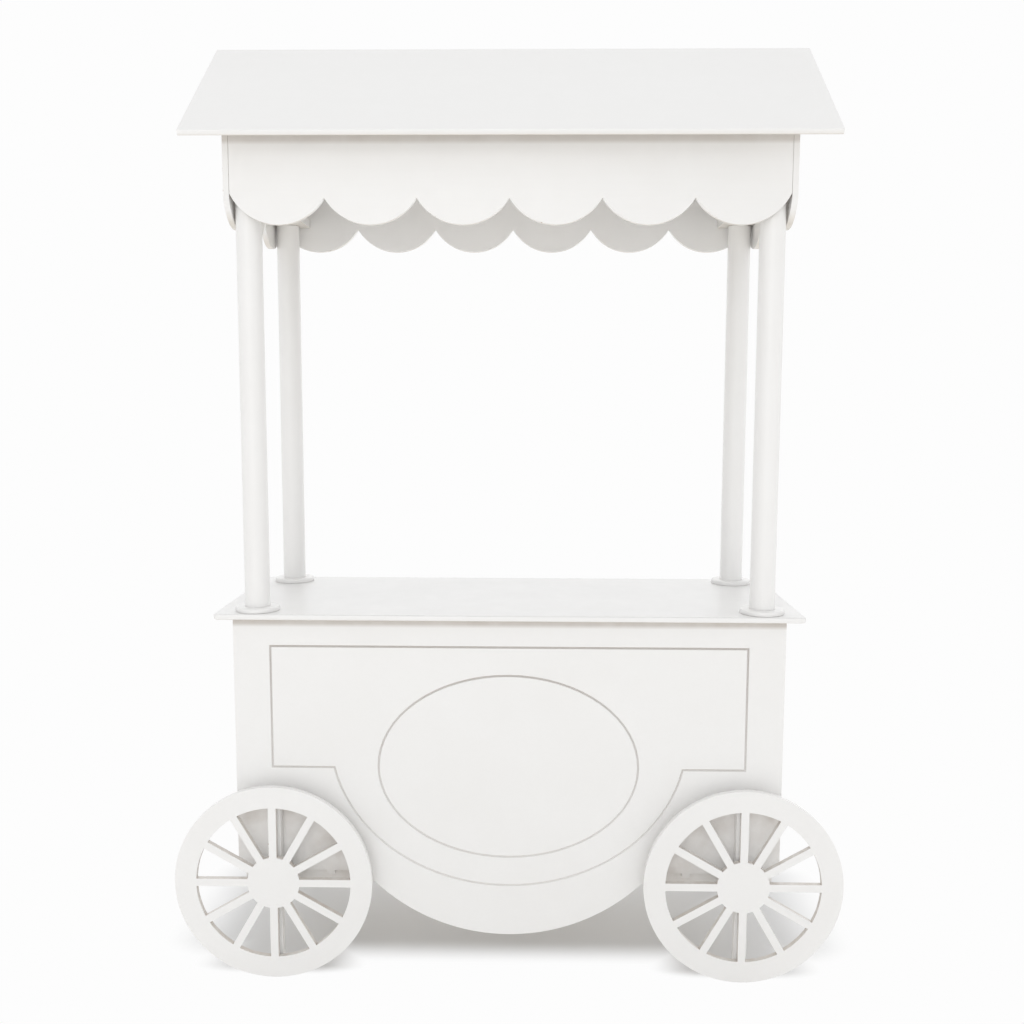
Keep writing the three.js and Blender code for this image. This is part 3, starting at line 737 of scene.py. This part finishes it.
def screw_rows():
    """The places of the screws that hold the boards together."""
    for side, inner in (("left", "right"), ("right", "left")):
        yield screw_face("leg_rear_" + side, "rear", 2, (0.71, 0.92))
        for depth in ("front", "rear"):
            yield screw_face(f"corner_batten_{depth}_{side}", inner, 2, (0.08, 0.60, 0.92))
            yield screw_face(f"canopy_block_{depth}_{side}", inner, 2, (0.3,))
            yield screw_face(f"rafter_{depth}_{side}", inner, 1, (0.5,))
        yield screw_face("shelf_cleat_" + side, inner, 1, (0.12, 0.5, 0.88))
        yield screw_face("rail_" + side, "under", 1, (0.15, 0.85))
    for depth, inner in (("front", "rear"), ("rear", "front")):
        yield screw_face("counter_cleat_" + depth, "under", 0, (0.1, 0.37, 0.63, 0.9))
        yield screw_face("valance_rail_" + depth, inner, 0, (0.12, 0.5, 0.88))
        yield screw_face("rail_" + depth, "under", 0, (0.30, 0.5, 0.70))
    yield screw_face("ridge_batten", "under", 0, (0.15, 0.5, 0.85))
    for across in (0.12, 0.86):
        yield screw_face("rear_apron", "rear", 0, (0.013, 0.987), across)
    yield screw_face("rear_apron", "rear", 0, (0.30, 0.5, 0.70), 0.12)


def add_board_screws(zinc):
    places = [place for row in screw_rows() for place in row]
    for number, (place, outward) in enumerate(places):
        name = f"board_screw_{number}"
        add_screw(name, "cart", place, outward, BOARD_SCREW, zinc, number * SCREW_TURN)


def add_wheel_screws(side, zinc):
    """Screws through the hub plate and on top of the collar of one wheel."""
    body = side + "_wheel"
    spindle_from, spindle_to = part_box("wheel_spindle_" + side)
    middle = (spindle_from + spindle_to) / 2
    plate_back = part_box("wheel_" + side)[1].y + PLATE_BACK
    for number in range(PLATE_SCREWS):
        angle = 2 * math.pi * (number + 0.5) / PLATE_SCREWS
        offset = Vector((math.cos(angle), 0, math.sin(angle))) * PLATE_SCREW_RING
        place = Vector((middle.x, plate_back, middle.z)) + offset
        name = f"plate_screw_{side}_{number}"
        add_screw(name, body, place, (0, 1, 0), PLATE_SCREW, zinc, angle)
    collar_low, collar_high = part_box("axle_collar_" + side)
    top = (collar_low + collar_high) / 2
    top.z = collar_high.z - GRUB_SCREW[1] / 2
    add_screw("grub_screw_" + side, body, top, (0, 0, 1), GRUB_SCREW, zinc, GRUB_TURN)


make_camera()
make_sky()
make_floor()
make_lamps()
smoothing = make_smoothing()
zinc_steel = make_bare("zinc")
dress_nodes(zinc_steel)
add_board_screws(zinc_steel)
for wheel_side in ("left", "right"):
    add_wheel_screws(wheel_side, zinc_steel)
bpy.context.scene.view_settings.view_transform = "Standard"
